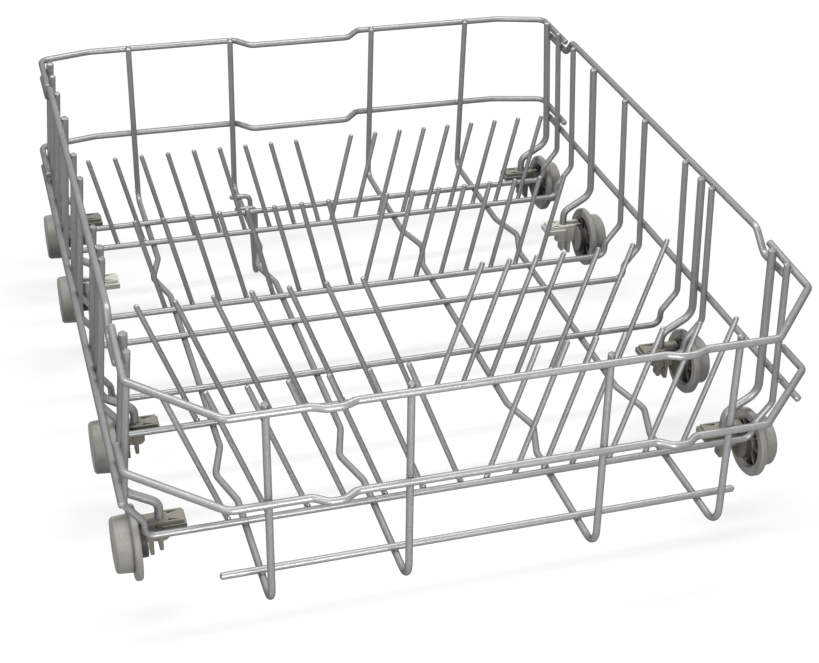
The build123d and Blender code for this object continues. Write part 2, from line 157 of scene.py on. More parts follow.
class WeldSizes(bpy.types.PropertyGroup):
    """Sizes of the coat's fillets at the welds."""

    wire_radius: FloatProperty(
        name="Wire radius", description="Mean radius of the frame wires", unit="LENGTH",
        default=2.5 * MM, min=0.5 * MM)
    tine_radius: FloatProperty(
        name="Tine radius", description="Radius of a tine", unit="LENGTH",
        default=2.0 * MM, min=0.5 * MM)
    sink: FloatProperty(
        name="Sink", description="How far two welded wires are set into each other", unit="LENGTH",
        default=0.3 * MM, min=0.0)
    reach: FloatProperty(
        name="Fillet reach", description="How far a fillet runs out along a wire", unit="LENGTH",
        default=4.0 * MM, min=0.5 * MM)
    foot_reach: FloatProperty(
        name="Foot reach", description="How far a fillet runs out at a tine's foot", unit="LENGTH",
        default=3.4 * MM, min=0.5 * MM)
    hug: FloatProperty(
        name="Hug", description="Share of a wire's radius that a fillet climbs round it", subtype="FACTOR",
        default=0.88, min=0.1, max=0.98)
    spokes: IntProperty(
        name="Spokes", description="Steps round a fillet", default=12, min=6)
    tip_rise: FloatProperty(
        name="Tip rise", description="Height of the rounded coat on a tine's end", unit="LENGTH",
        default=1.5 * MM, min=0.1 * MM)


class PlasticFinish(bpy.types.PropertyGroup):
    """Colours of the moulded plastic pieces."""

    roller: FloatVectorProperty(
        name="Roller colour", description="Warm grey of the rollers", subtype="COLOR",
        default=(0.215, 0.208, 0.191), min=0.0, max=1.0)
    carrier: FloatVectorProperty(
        name="Carrier colour", description="Olive grey of the carriers", subtype="COLOR",
        default=(0.165, 0.157, 0.130), min=0.0, max=1.0)
    pale_carrier: FloatVectorProperty(
        name="Pale carrier colour", description="Light grey of the third pair of carriers", subtype="COLOR",
        default=(0.47, 0.465, 0.42), min=0.0, max=1.0)
    dust: FloatVectorProperty(
        name="Scuff colour", description="Pale scuffs and dust", subtype="COLOR",
        default=(0.48, 0.47, 0.44), min=0.0, max=1.0)
    # Painted shade: a near-black colour laid into the rollers' pockets and onto the carriers' plates in the gap by
    # the roller's face, where shade falls.
    painted_shade: FloatVectorProperty(
        name="Painted shade colour", description="Dark painted shade down in the rollers' pockets and on the carriers' plates", subtype="COLOR",
        default=(0.035, 0.033, 0.03), min=0.0, max=1.0)
    pocket_radius: FloatProperty(
        name="Pocket radius", description="Radius within which a roller's pocket darkens", unit="LENGTH",
        default=18.2 * MM, min=1.0 * MM)
    pocket_depth: FloatProperty(
        name="Pocket depth", description="Depth at which a pocket is fully dark", unit="LENGTH",
        default=5.0 * MM, min=0.5 * MM)
    # The hub values place painted shade on the carriers' plates near the axle, in the gap by the roller's face.
    hub_radius: FloatProperty(
        name="Hub radius", description="Radius within which a carrier's plate is darkened", unit="LENGTH",
        default=12.5 * MM, min=1.0 * MM)
    hub_start: FloatProperty(
        name="Hub start", description="How far before the roller's face the darkening starts", unit="LENGTH",
        default=7.5 * MM, min=0.0)
    hub_depth: FloatProperty(
        name="Hub depth", description="Depth at which a plate is fully dark", unit="LENGTH",
        default=3.0 * MM, min=0.5 * MM)
    roughness: FloatProperty(
        name="Roughness", description="Mean roughness of the plastic", subtype="FACTOR",
        default=0.5, min=0.0, max=1.0)


class StageSettings(bpy.types.PropertyGroup):
    """Camera, floor and light."""

    camera_place: FloatVectorProperty(
        name="Camera place", description="Where the camera stands", subtype="TRANSLATION", unit="LENGTH",
        default=(-0.3105, -1.0206, 0.7202))
    camera_aim: FloatVectorProperty(
        name="Camera aim", description="Point in the middle of the picture", subtype="TRANSLATION", unit="LENGTH",
        default=(0.0235, 0.0, 0.0342))
    camera_roll: FloatProperty(
        name="Camera roll", description="Turn of the picture about the line of sight", subtype="ANGLE",
        default=radians(2.3))
    lens: FloatProperty(
        name="Lens", description="Focal length on a 36 mm wide sensor, in millimetres", default=67.93, min=1.0)
    floor_size: FloatProperty(
        name="Floor size", description="Side of the square floor", unit="LENGTH", default=12.0, min=1.0)
    floor_colour: FloatVectorProperty(
        name="Floor colour", description="Colour that the floor throws back on the basket", subtype="COLOR",
        default=(0.06, 0.06, 0.06), min=0.0, max=1.0)
    floor_shade: FloatProperty(
        name="Floor shade", description="Grey of the floor to the eye, which carries the shadow", subtype="FACTOR",
        default=0.18, min=0.0, max=1.0)
    floor_glow: FloatProperty(
        name="Floor glow", description="White added to the floor to the eye, under the basket", subtype="FACTOR",
        default=0.745, min=0.0, max=1.0)
    fade_start: FloatProperty(
        name="Fade start", description="Distance at which the floor starts to fade to white", unit="LENGTH",
        default=0.45, min=0.0)
    fade_end: FloatProperty(
        name="Fade end", description="Distance at which the floor is white", unit="LENGTH",
        default=1.4, min=0.1)
    key_power: FloatProperty(
        name="Key power", description="Power of the strip lamp overhead", unit="POWER", default=29.5, min=0.0)
    side_power: FloatProperty(
        name="Side power", description="Power of the lamp at the front left", unit="POWER", default=7.2, min=0.0)
    fill_power: FloatProperty(
        name="Fill power", description="Power of the low lamp in front", unit="POWER", default=6.4, min=0.0)
    back_power: FloatProperty(
        name="Back power", description="Power of the weak lamp behind", unit="POWER", default=5.0, min=0.0)
    sky: FloatProperty(
        name="Sky", description="Strength of the even light from all round", default=0.02, min=0.0)


# Shader nodes


def add_node(tree, kind, **settings):
    node = tree.nodes.new(kind)
    for name, value in settings.items():
        setattr(node, name, value)
    return node


def new_group(name, inputs, outputs):
    """An empty shader group with its sockets, and its input and output nodes."""
    group = bpy.data.node_groups.new(name, "ShaderNodeTree")
    for title, kind, default in inputs:
        socket = group.interface.new_socket(title, in_out="INPUT", socket_type=kind)
        socket.default_value = default
    for title, kind in outputs:
        group.interface.new_socket(title, in_out="OUTPUT", socket_type=kind)
    return group, add_node(group, "NodeGroupInput"), add_node(group, "NodeGroupOutput")


def noise(tree, vector, scale, detail=2.0):
    node = add_node(tree, "ShaderNodeTexNoise")
    node.inputs["Detail"].default_value = detail
    if isinstance(scale, (int, float)):
        node.inputs["Scale"].default_value = scale
    else:
        tree.links.new(scale, node.inputs["Scale"])
    tree.links.new(vector, node.inputs["Vector"])
    return node.outputs["Fac"]


def maths(tree, operation, a, b=0.0, clamp=False):
    node = add_node(tree, "ShaderNodeMath", operation=operation, use_clamp=clamp)
    for socket, value in zip(node.inputs, (a, b)):
        if isinstance(value, (int, float)):
            socket.default_value = value
        else:
            tree.links.new(value, socket)
    return node.outputs[0]


def spread(tree, value, low, high, to_low=0.0, to_high=1.0):
    node = add_node(tree, "ShaderNodeMapRange")
    tree.links.new(value, node.inputs["Value"])
    for title, number in (("From Min", low), ("From Max", high), ("To Min", to_low), ("To Max", to_high)):
        if isinstance(number, (int, float)):
            node.inputs[title].default_value = number
        else:
            tree.links.new(number, node.inputs[title])
    return node.outputs["Result"]


def mix_colour(tree, share, a, b, blend="MIX"):
    node = add_node(tree, "ShaderNodeMix", data_type="RGBA", blend_type=blend)
    colours = [s for s in node.inputs if s.type == "RGBA"]
    for socket, value in ((node.inputs[0], share), (colours[0], a), (colours[1], b)):
        if isinstance(value, (int, float, tuple)):
            socket.default_value = value
        else:
            tree.links.new(value, socket)
    return [s for s in node.outputs if s.type == "RGBA"][0]


def coat_group():
    """Dipped coat: slow drift of tone, pale flecks, and a ripple for the bump."""
    group, given, result = new_group(
        "coat_surface",
        [("Vector", "NodeSocketVector", (0, 0, 0)),
         ("Colour", "NodeSocketColor", (0.4, 0.4, 0.4, 1)),
         ("Fleck", "NodeSocketColor", (0.6, 0.6, 0.6, 1)),
         ("Fleck scale", "NodeSocketFloat", 800.0),
         ("Fleck share", "NodeSocketFloat", 0.4),
         ("Roughness", "NodeSocketFloat", 0.4)],
        [("Colour", "NodeSocketColor"), ("Roughness", "NodeSocketFloat"), ("Height", "NodeSocketFloat")])
    vector = given.outputs["Vector"]
    drift = noise(group, vector, DRIFT_SCALE, 3.0)
    flecks = noise(group, vector, given.outputs["Fleck scale"], 1.0)
    ripple = noise(group, vector, RIPPLE_SCALE, 2.0)
    dark = mix_colour(group, 1.0, given.outputs["Colour"], (0.92, 0.92, 0.92, 1), "MULTIPLY")
    toned = mix_colour(group, spread(group, drift, 0.35, 0.65), dark, given.outputs["Colour"])
    # Over 1 the flecks run together and lighten the whole surface; the welds, tine feet and tine tips use this as
    # a painted highlight.
    bright = maths(group, "MULTIPLY", spread(group, flecks, 0.52, 0.68), given.outputs["Fleck share"])
    group.links.new(mix_colour(group, bright, toned, given.outputs["Fleck"]), result.inputs["Colour"])
    rough = maths(group, "ADD", given.outputs["Roughness"], spread(group, ripple, 0.3, 0.7, -0.04, 0.04))
    group.links.new(rough, result.inputs["Roughness"])
    group.links.new(ripple, result.inputs["Height"])
    return group


def moulded_group():
    """Moulded plastic: mottled tone, scuffs on faces that look up, and a fine grain."""
    group, given, result = new_group(
        "moulded_surface",
        [("Vector", "NodeSocketVector", (0, 0, 0)),
         ("Normal", "NodeSocketVector", (0, 0, 1)),
         ("Colour", "NodeSocketColor", (0.3, 0.3, 0.3, 1)),
         ("Scuff", "NodeSocketColor", (0.5, 0.5, 0.5, 1)),
         ("Scuff share", "NodeSocketFloat", 0.25),
         ("Roughness", "NodeSocketFloat", 0.5)],
        [("Colour", "NodeSocketColor"), ("Roughness", "NodeSocketFloat"), ("Height", "NodeSocketFloat")])
    vector = given.outputs["Vector"]
    mottle = noise(group, vector, MOTTLE_SCALE, 4.0)
    scuffs = noise(group, vector, SCUFF_SCALE, 5.0)
    grain = noise(group, vector, GRAIN_SCALE, 1.0)
    dark = mix_colour(group, 1.0, given.outputs["Colour"], (0.93, 0.925, 0.92, 1), "MULTIPLY")
    toned = mix_colour(group, spread(group, mottle, 0.35, 0.65), dark, given.outputs["Colour"])
    axes = add_node(group, "ShaderNodeSeparateXYZ")
    group.links.new(given.outputs["Normal"], axes.inputs[0])
    upward = spread(group, axes.outputs["Z"], -0.2, 1.0, 0.35, 1.0)
    worn = maths(group, "MULTIPLY", spread(group, scuffs, 0.5, 0.72), given.outputs["Scuff share"])
    worn = maths(group, "MULTIPLY", worn, upward)
    group.links.new(mix_colour(group, worn, toned, given.outputs["Scuff"]), result.inputs["Colour"])
    rough = maths(group, "ADD", given.outputs["Roughness"], spread(group, scuffs, 0.3, 0.7, -0.08, 0.1))
    group.links.new(rough, result.inputs["Roughness"])
    group.links.new(grain, result.inputs["Height"])
    return group


def pocket_group():
    """Mask about an axle along X, which grows from a start to its full depth and stops at an end; it places
    painted shade in the rollers' pockets and on the carriers' plates.
    """
    group, given, result = new_group(
        "pocket_mask",
        [("Vector", "NodeSocketVector", (0, 0, 0)),
         ("Axle", "NodeSocketVector", (0, 0, 0)),
         ("Radius", "NodeSocketFloat", 0.018),
         ("Start", "NodeSocketFloat", 0.0),
         ("Depth", "NodeSocketFloat", 0.006),
         ("End", "NodeSocketFloat", 1.0)],
        [("Mask", "NodeSocketFloat")])
    off = add_node(group, "ShaderNodeVectorMath", operation="SUBTRACT")
    group.links.new(given.outputs["Vector"], off.inputs[0])
    group.links.new(given.outputs["Axle"], off.inputs[1])
    axes = add_node(group, "ShaderNodeSeparateXYZ")
    group.links.new(off.outputs[0], axes.inputs[0])
    y2 = maths(group, "MULTIPLY", axes.outputs["Y"], axes.outputs["Y"])
    z2 = maths(group, "MULTIPLY", axes.outputs["Z"], axes.outputs["Z"])
    radius = maths(group, "SQRT", maths(group, "ADD", y2, z2))
    within = maths(group, "LESS_THAN", radius, given.outputs["Radius"])
    out = maths(group, "ABSOLUTE", axes.outputs["X"])
    within = maths(group, "MULTIPLY", within, maths(group, "LESS_THAN", out, given.outputs["End"]))
    deep = maths(group, "SUBTRACT", out, given.outputs["Start"])
    share = maths(group, "DIVIDE", deep, given.outputs["Depth"], clamp=True)
    group.links.new(maths(group, "MULTIPLY", share, within), result.inputs["Mask"])
    return group


def shared_group(name):
    """The group of that name, built the first time it is asked for."""
    builders = {"coat_surface": coat_group, "moulded_surface": moulded_group, "pocket_mask": pocket_group}
    return bpy.data.node_groups.get(name) or builders[name]()


def surface_material(name, group_name, values, bump_height, bump_strength):
    """A material whose colour, roughness and bump come from a surface group."""
    material = bpy.data.materials.new(name)
    material.use_nodes = True
    tree = material.node_tree
    shader = tree.nodes["Principled BSDF"]
    surface = add_node(tree, "ShaderNodeGroup", node_tree=shared_group(group_name))
    place = add_node(tree, "ShaderNodeTexCoord")
    tree.links.new(place.outputs["Object"], surface.inputs["Vector"])
    if "Normal" in surface.inputs:
        tree.links.new(place.outputs["Normal"], surface.inputs["Normal"])
    for title, value in values.items():
        surface.inputs[title].default_value = (*value, 1) if hasattr(value, "__len__") else value
    bump = add_node(tree, "ShaderNodeBump")
    bump.inputs["Distance"].default_value = bump_height
    bump.inputs["Strength"].default_value = bump_strength
    tree.links.new(surface.outputs["Height"], bump.inputs["Height"])
    tree.links.new(surface.outputs["Colour"], shader.inputs["Base Color"])
    tree.links.new(surface.outputs["Roughness"], shader.inputs["Roughness"])
    tree.links.new(bump.outputs["Normal"], shader.inputs["Normal"])
    return material, shader


def coat_material(name, fleck_and_highlight_share):
    """The wires' coat; the welds and ends have it with more flecks, which lighten them as a painted highlight."""
    finish = bpy.context.scene.basket_wires
    values = {
        "Colour": tuple(finish.colour), "Fleck": tuple(finish.fleck),
        "Fleck scale": 1.0 / finish.fleck_size, "Fleck share": fleck_and_highlight_share,
        "Roughness": finish.roughness,
    }
    material, shader = surface_material(name, "coat_surface", values, finish.ripple, COAT_BUMP)
    shader.inputs["Metallic"].default_value = finish.metallic
    shader.inputs["Specular IOR Level"].default_value = COAT_SPECULAR
    shader.inputs["Specular Tint"].default_value = (*finish.edge, 1)
    return material


def plastic_material(name, colour, scuff_share):
    """The rollers' and carriers' plastic, and its shader."""
    finish = bpy.context.scene.basket_plastic
    values = {
        "Colour": tuple(colour), "Scuff": tuple(finish.dust),
        "Scuff share": scuff_share, "Roughness": finish.roughness,
    }
    material, shader = surface_material(name, "moulded_surface", values, GRAIN_HEIGHT, PLASTIC_BUMP)
    shader.inputs["Specular IOR Level"].default_value = PLASTIC_SPECULAR
    return material, shader


def roller_faces(roller):
    """Distances of a roller's inner and outer face from the basket's middle plane."""
    low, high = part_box(roller)
    return sorted((abs(low[0]), abs(high[0])))


def add_painted_shade(material, shader, roller, radius, start, depth, end):
    """Darkens a plastic about a roller's axle, between two distances from the basket's middle plane, as painted
    shade in the pockets and gaps there.
    """
    tree = material.node_tree
    low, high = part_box(roller)
    mask = add_node(tree, "ShaderNodeGroup", node_tree=shared_group("pocket_mask"))
    mask.inputs["Axle"].default_value = (0, (low[1] + high[1]) / 2, (low[2] + high[2]) / 2)
    mask.inputs["Radius"].default_value = radius
    mask.inputs["Start"].default_value = start
    mask.inputs["Depth"].default_value = depth
    mask.inputs["End"].default_value = end
    place = [n for n in tree.nodes if n.type == "TEX_COORD"][0]
    tree.links.new(place.outputs["Object"], mask.inputs["Vector"])
    # The plastic's own colour is mixed towards the dark colour by the mask: painted shade.
    unshaded = shader.inputs["Base Color"].links[0].from_socket
    painted_shade = bpy.context.scene.basket_plastic.painted_shade
    tree.links.new(mix_colour(tree, mask.outputs["Mask"], unshaded, (*painted_shade, 1)), shader.inputs["Base Color"])


def dress(names, material):
    """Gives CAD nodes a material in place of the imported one."""
    for name in names:
        NODES[name].data.materials.clear()
        NODES[name].data.materials.append(material)


# Welds and ends found on the solids


def triangles(name):
    """Corner points of a CAD node's triangles."""
    mesh = NODES[name].data
    points = [v.co.copy() for v in mesh.vertices]
    return points, [tuple(p.vertices) for p in mesh.polygons]


def long_edge(corners):
    """The longest edge of a triangle, which lies along its wire."""
    edges = [corners[i - 1] - corners[i] for i in range(3)]
    return max(edges, key=lambda e: e.length_squared)


def edge_hits(edged, face):
    """Points where one triangle's edges pass through another triangle."""
    hits = []
    for i in range(3):
        start, run = edged[i - 1], edged[i] - edged[i - 1]
        hit = intersect_ray_tri(*face, run, start, True)
        if hit and 0.0 <= (hit - start).dot(run) <= run.length_squared:
            hits.append(hit)
    return hits


def weld_frames(low_name, high_name, meshes):
    """Where two nodes' wires are set into each other: middle, both wires' directions, and the way across."""
    low, high = meshes[low_name], meshes[high_name]
    welds = []
    for i, j in low["tree"].overlap(high["tree"]):
        a = [low["points"][k] for k in low["faces"][i]]
        b = [high["points"][k] for k in high["faces"][j]]
        hits = edge_hits(a, b) + edge_hits(b, a)
        if not hits:
            continue
        middle = sum(hits, Vector()) / len(hits)
        near = [w for w in welds if (w["hits"][0] - middle).length < WELD_GAP]
        weld = near[0] if near else {"hits": [], "low": Vector(), "high": Vector(), "out": Vector()}
        if not near:
            welds.append(weld)
        weld["hits"].append(middle)
        for key, corners in (("low", a), ("high", b)):
            along = long_edge(corners).normalized()
            weld[key] += along if weld[key].dot(along) >= 0 else -along
        weld["out"] += (a[1] - a[0]).cross(a[2] - a[0]).normalized()
    return welds


def weld_points(pairs):
    """Weld middles with the turn that lays a saddle's X on the first wire and its Z across to the second."""
    names = {name for pair in pairs for name in pair}
    meshes = {}
    for name in names:
        points, faces = triangles(name)
        meshes[name] = {"points": points, "faces": faces, "tree": BVHTree.FromPolygons(points, faces)}
    places, turns = [], []
    for low_name, high_name in pairs:
        for weld in weld_frames(low_name, high_name, meshes):
            along = weld["low"].normalized()
            across = along.cross(weld["high"].normalized())
            if across.dot(weld["out"]) < 0:
                across = -across
            across.normalize()
            side = across.cross(along)
            turn = Matrix((along, side, across)).transposed().to_euler()
            places.append(sum(weld["hits"], Vector()) / len(weld["hits"]))
            turns.append(turn)
    return places, turns


def boxes_meet(a, b):
    (a_low, a_high), (b_low, b_high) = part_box(a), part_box(b)
    return all(a_low[i] <= b_high[i] and b_low[i] <= a_high[i] for i in range(3))


def tine_ends(name):
    """Top middle and direction of each tine of a row."""
    shell = bmesh.new()
    shell.from_mesh(NODES[name].data)
    bmesh.ops.remove_doubles(shell, verts=shell.verts, dist=MERGE_DISTANCE)
    left = set(shell.verts)
    ends = []
    while left:
        tine, front = set(), [left.pop()]
        while front:
            vert = front.pop()
            tine.add(vert)
            for edge in vert.link_edges:
                other = edge.other_vert(vert)
                if other in left:
                    left.remove(other)
                    front.append(other)
        halfway = sum(v.co.z for v in tine) / len(tine)
        top = [v.co for v in tine if v.co.z > halfway]
        foot = [v.co for v in tine if v.co.z <= halfway]
        top_middle = sum(top, Vector()) / len(top)
        foot_middle = sum(foot, Vector()) / len(foot)
        ends.append((top_middle.copy(), (top_middle - foot_middle).normalized()))
    shell.free()
    return ends


# Small meshes that repeat


def ring_mesh(name, rings):
    """A closed mesh through rings of points, with a flat cap on the first and the last."""
    shape = bmesh.new()
    rows = [[shape.verts.new(p) for p in ring] for ring in rings]
    for low, high in zip(rows, rows[1:]):
        for i in range(len(low)):
            shape.faces.new((low[i - 1], low[i], high[i], high[i - 1]))
    shape.faces.new(rows[0][::-1])
    shape.faces.new(rows[-1])
    bmesh.ops.recalc_face_normals(shape, faces=shape.faces)
    mesh = bpy.data.meshes.new(name)
    shape.to_mesh(mesh)
    shape.free()
    return bpy.data.objects.new(name, mesh)


def saddle(name, low_radius, high_radius, reach):
    """A coat fillet between a wire along X below and a wire along Y above, flared along both."""
    sizes = bpy.context.scene.basket_welds
    rings = []
    for depth in SADDLE_DEPTHS:
        ring = []
        for i in range(sizes.spokes):
            angle = 2 * pi * i / sizes.spokes
            x, y = cos(angle), sin(angle)
            low_reach = min(reach, sizes.hug * low_radius / max(abs(y), 1e-6))
            high_reach = min(reach, sizes.hug * high_radius / max(abs(x), 1e-6))
            end = low_reach if depth < 0 else high_reach
            waist = SADDLE_WAIST * min(low_reach, high_reach)
            run = waist + (end - waist) * depth * depth
            low_z = sqrt(max(low_radius**2 - (run * y) ** 2, 0.0)) - low_radius + sizes.sink / 2
            high_z = high_radius - sizes.sink / 2 - sqrt(max(high_radius**2 - (run * x) ** 2, 0.0))
            share = 0.5 + SADDLE_SPAN * depth
            z = low_z + (high_z - low_z) * share - SADDLE_SAG * (1 - abs(depth))
            ring.append((run * x, run * y, z))
        rings.append(ring)
    return ring_mesh(name, rings)


def tip_dome(name, radius, rise):
    """A rounded end that sits on a tine's flat one."""
    rings = []
    for step in range(TIP_STEPS):
        angle = 0.5 * pi * step / TIP_STEPS
        ring_radius, z = radius * cos(angle), rise * sin(angle)
        rings.append([
            (ring_radius * cos(2 * pi * i / TIP_SPOKES), ring_radius * sin(2 * pi * i / TIP_SPOKES), z)
            for i in range(TIP_SPOKES)
        ])
    return ring_mesh(name, rings)


# Geometry Nodes


def scatter_tree(name):
    """Sets a small shape on every point, with the point's own angles and size."""
    tree = bpy.data.node_groups.new(name, "GeometryNodeTree")
    face = tree.interface
    face.new_socket("Points", in_out="INPUT", socket_type="NodeSocketGeometry")
    face.new_socket("Shape", in_out="INPUT", socket_type="NodeSocketObject")
    face.new_socket("Size", in_out="INPUT", socket_type="NodeSocketFloat")
    face.new_socket("Size spread", in_out="INPUT", socket_type="NodeSocketFloat")
    face.new_socket("Seed", in_out="INPUT", socket_type="NodeSocketInt")
    face.new_socket("Finish", in_out="INPUT", socket_type="NodeSocketMaterial")
    face.new_socket("Shapes", in_out="OUTPUT", socket_type="NodeSocketGeometry")
    given = add_node(tree, "NodeGroupInput")
    result = add_node(tree, "NodeGroupOutput")
    shape = add_node(tree, "GeometryNodeObjectInfo", transform_space="ORIGINAL")
    angles = add_node(tree, "GeometryNodeInputNamedAttribute", data_type="FLOAT_VECTOR")
    angles.inputs["Name"].default_value = "turn"
    room = add_node(tree, "GeometryNodeInputNamedAttribute", data_type="FLOAT")
    room.inputs["Name"].default_value = "room"
    fitted = add_node(tree, "ShaderNodeMath", operation="MULTIPLY")
    turn = add_node(tree, "FunctionNodeEulerToRotation")
    low = add_node(tree, "ShaderNodeMath", operation="SUBTRACT")
    high = add_node(tree, "ShaderNodeMath", operation="ADD")
    size = add_node(tree, "FunctionNodeRandomValue", data_type="FLOAT")
    onto = add_node(tree, "GeometryNodeInstanceOnPoints")
    real = add_node(tree, "GeometryNodeRealizeInstances")
    smooth = add_node(tree, "GeometryNodeSetShadeSmooth")
    finish = add_node(tree, "GeometryNodeSetMaterial")
    link = tree.links.new
    for node in (low, high):
        link(given.outputs["Size"], node.inputs[0])
        link(given.outputs["Size spread"], node.inputs[1])
    float_sockets = [s for s in size.inputs if s.type == "VALUE"]
    link(low.outputs[0], float_sockets[0])
    link(high.outputs[0], float_sockets[1])
    link(given.outputs["Seed"], size.inputs["Seed"])
    link(given.outputs["Shape"], shape.inputs["Object"])
    link(angles.outputs["Attribute"], turn.inputs[0])
    link(given.outputs["Points"], onto.inputs["Points"])
    link(shape.outputs["Geometry"], onto.inputs["Instance"])
    link(turn.outputs[0], onto.inputs["Rotation"])
    link([s for s in size.outputs if s.type == "VALUE"][0], fitted.inputs[0])
    link(room.outputs["Attribute"], fitted.inputs[1])
    link(fitted.outputs[0], onto.inputs["Scale"])
    link(onto.outputs["Instances"], real.inputs["Geometry"])
    link(real.outputs["Geometry"], smooth.inputs["Geometry"])
    link(smooth.outputs["Geometry"], finish.inputs["Geometry"])
    link(given.outputs["Finish"], finish.inputs["Material"])
    link(finish.outputs["Geometry"], result.inputs["Shapes"])
    return tree


def room_share(place, reach):
    """How much of its full size a shape can have at a place and stay inside the box of the solids."""
    low, high = CAD_BOX
    room = min(min(place[i] - low[i], high[i] - place[i]) for i in range(3))
    return min(1.0, room / reach)


def scatter(name, shape, places, turns, finish, size_spread=0.0):
    """A piece of the basket made of one small shape set at many places."""
    if not places:
        raise RuntimeError("no places were found on the solids for " + name)
    mesh = bpy.data.meshes.new(name + "_points")
    mesh.from_pydata([tuple(p) for p in places], [], [])
    turn = mesh.attributes.new("turn", "FLOAT_VECTOR", "POINT")
    turn.data.foreach_set("vector", [angle for euler in turns for angle in euler])
    reach = max(v.co.length for v in shape.data.vertices) * (1.0 + size_spread)
    room = mesh.attributes.new("room", "FLOAT", "POINT")
    room.data.foreach_set("value", [room_share(place, reach) for place in places])
    piece = bpy.data.objects.new(name, mesh)
    bpy.context.scene.collection.objects.link(piece)
    tree = bpy.data.node_groups.get("scatter_shape") or scatter_tree("scatter_shape")
    modifier = piece.modifiers.new("Scatter", "NODES")
    modifier.node_group = tree
    values = {"Shape": shape, "Size": 1.0, "Size spread": size_spread, "Seed": SCATTER_SEED, "Finish": finish}
    for item in tree.interface.items_tree:
        if item.in_out == "INPUT" and item.name in values:
            modifier[item.identifier] = values[item.name]
    graph = bpy.context.evaluated_depsgraph_get()
    made = bpy.data.meshes.new_from_object(piece.evaluated_get(graph), depsgraph=graph)
    piece.modifiers.remove(modifier)
    piece.data = made
    made.name = name
    bpy.data.meshes.remove(mesh)
    bpy.data.objects.remove(shape)
    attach(piece, BASKET)
    return piece


# Operators


class BASKET_OT_coat_wires(bpy.types.Operator):
    """Give the frame wires and the tines their silver-grey coat"""

    bl_idname = "basket.coat_wires"
    bl_label = "Coat the wires"

    def execute(self, context):
        dress(FRAME_WIRES, coat_material("coat_wire", WIRE_FLECKS))
        dress(TINE_ROWS, coat_material("coat_tine", WIRE_FLECKS))
        return {"FINISHED"}


class BASKET_OT_weld_fillets(bpy.types.Operator):
    """Fill every crossing of two frame wires with a saddle of coat"""

    bl_idname = "basket.weld_fillets"
    bl_label = "Add weld fillets"

    def execute(self, context):
        sizes = context.scene.basket_welds
        pairs = [
            (a, b) for i, a in enumerate(FRAME_WIRES) for b in FRAME_WIRES[i + 1:] if boxes_meet(a, b)
        ]
        places, turns = weld_points(pairs)
        shape = saddle("weld_saddle", sizes.wire_radius, sizes.wire_radius, sizes.reach)
        # Lighter coat on the welds: a painted highlight.
        finish = coat_material("coat_weld", WELD_HIGHLIGHT_FLECKS)
        scatter("weld_fillets", shape, places, turns, finish, WELD_SIZE_SPREAD)
        return {"FINISHED"}


class BASKET_OT_tine_feet(bpy.types.Operator):
    """Fill the foot of every tine where it is welded behind its cross wire"""

    bl_idname = "basket.tine_feet"
    bl_label = "Add tine feet"

    def execute(self, context):
        sizes = context.scene.basket_welds
        pairs = [(a, b) for a in FRAME_WIRES for b in TINE_ROWS if boxes_meet(a, b)]
        places, turns = weld_points(pairs)
        shape = saddle("foot_saddle", sizes.wire_radius, sizes.tine_radius, sizes.foot_reach)
        # Lighter coat on the tine feet: a painted highlight.
        finish = coat_material("coat_foot", FOOT_HIGHLIGHT_FLECKS)
        scatter("tine_feet", shape, places, turns, finish, FOOT_SIZE_SPREAD)
        return {"FINISHED"}


class BASKET_OT_tine_tips(bpy.types.Operator):
    """Round the top of every tine"""

    bl_idname = "basket.tine_tips"
    bl_label = "Round the tine tips"

    def execute(self, context):
        sizes = context.scene.basket_welds
        ends = [end for name in TINE_ROWS for end in tine_ends(name)]
        places = [top for top, along in ends]
        turns = [along.to_track_quat("Z", "Y").to_euler() for top, along in ends]
        shape = tip_dome("tip_dome", sizes.tine_radius, sizes.tip_rise)
        # Lighter coat on the tine tips: a painted highlight.
        scatter("tine_tips", shape, places, turns, coat_material("coat_tip", TIP_HIGHLIGHT_FLECKS))
        return {"FINISHED"}


class BASKET_OT_finish_rollers(bpy.types.Operator):
    """Give the rollers their warm grey plastic"""

    bl_idname = "basket.finish_rollers"
    bl_label = "Finish the rollers"

    def execute(self, context):
        finish = context.scene.basket_plastic
        for place in PLACES:
            pair = [name for name in ROLLERS if name.endswith(place)]
            material, shader = plastic_material("roller_grey" + place, finish.roller, ROLLER_SCUFFS)
            # Painted shade: each pocket darkens from the inner face to just short of the outer face.
            inner, outer = roller_faces(pair[0])
            end = outer - OUTER_WALL
            add_painted_shade(material, shader, pair[0], finish.pocket_radius, inner, finish.pocket_depth, end)
            dress(pair, material)
        return {"FINISHED"}


class BASKET_OT_finish_carriers(bpy.types.Operator):
    """Give the carriers their olive grey plastic, the third pair paler"""

    bl_idname = "basket.finish_carriers"
    bl_label = "Finish the carriers"

    def execute(self, context):
        finish = context.scene.basket_plastic
        for place in PLACES:
            pair = [name for name in CARRIERS if name.endswith(place)]
            colour = finish.pale_carrier if place == PALE_PLACE else finish.carrier
            material, shader = plastic_material("carrier" + place, colour, CARRIER_SCUFFS)
            # Painted shade on the plate near the axle, in the gap by the roller's face.
            roller = "roller_left" + place
            face = roller_faces(roller)[0]
            start = face - finish.hub_start
            add_painted_shade(material, shader, roller, finish.hub_radius, start, finish.hub_depth, face)
            dress(pair, material)
        return {"FINISHED"}


class BASKET_OT_set_stage(bpy.types.Operator):
    """Lay the floor, hang the lamps and place the camera"""

    bl_idname = "basket.set_stage"
    bl_label = "Set the stage"

    def execute(self, context):
        stage = context.scene.basket_stage
        lay_floor(stage)
        light_sky(stage)
        for name, place, aim, size, power in LAMPS:
            hang_lamp(name, place, aim, size, getattr(stage, power))
        place_camera(stage)
        context.scene.view_settings.view_transform = "Standard"
        return {"FINISHED"}


# Stage


def seen_directly(tree):
    """1 for rays from the camera, a reflection or a clear body, else 0."""
    path = add_node(tree, "ShaderNodeLightPath")
    seen = maths(tree, "ADD", path.outputs["Is Camera Ray"], path.outputs["Is Glossy Ray"])
    return maths(tree, "ADD", seen, path.outputs["Is Transmission Ray"], clamp=True)


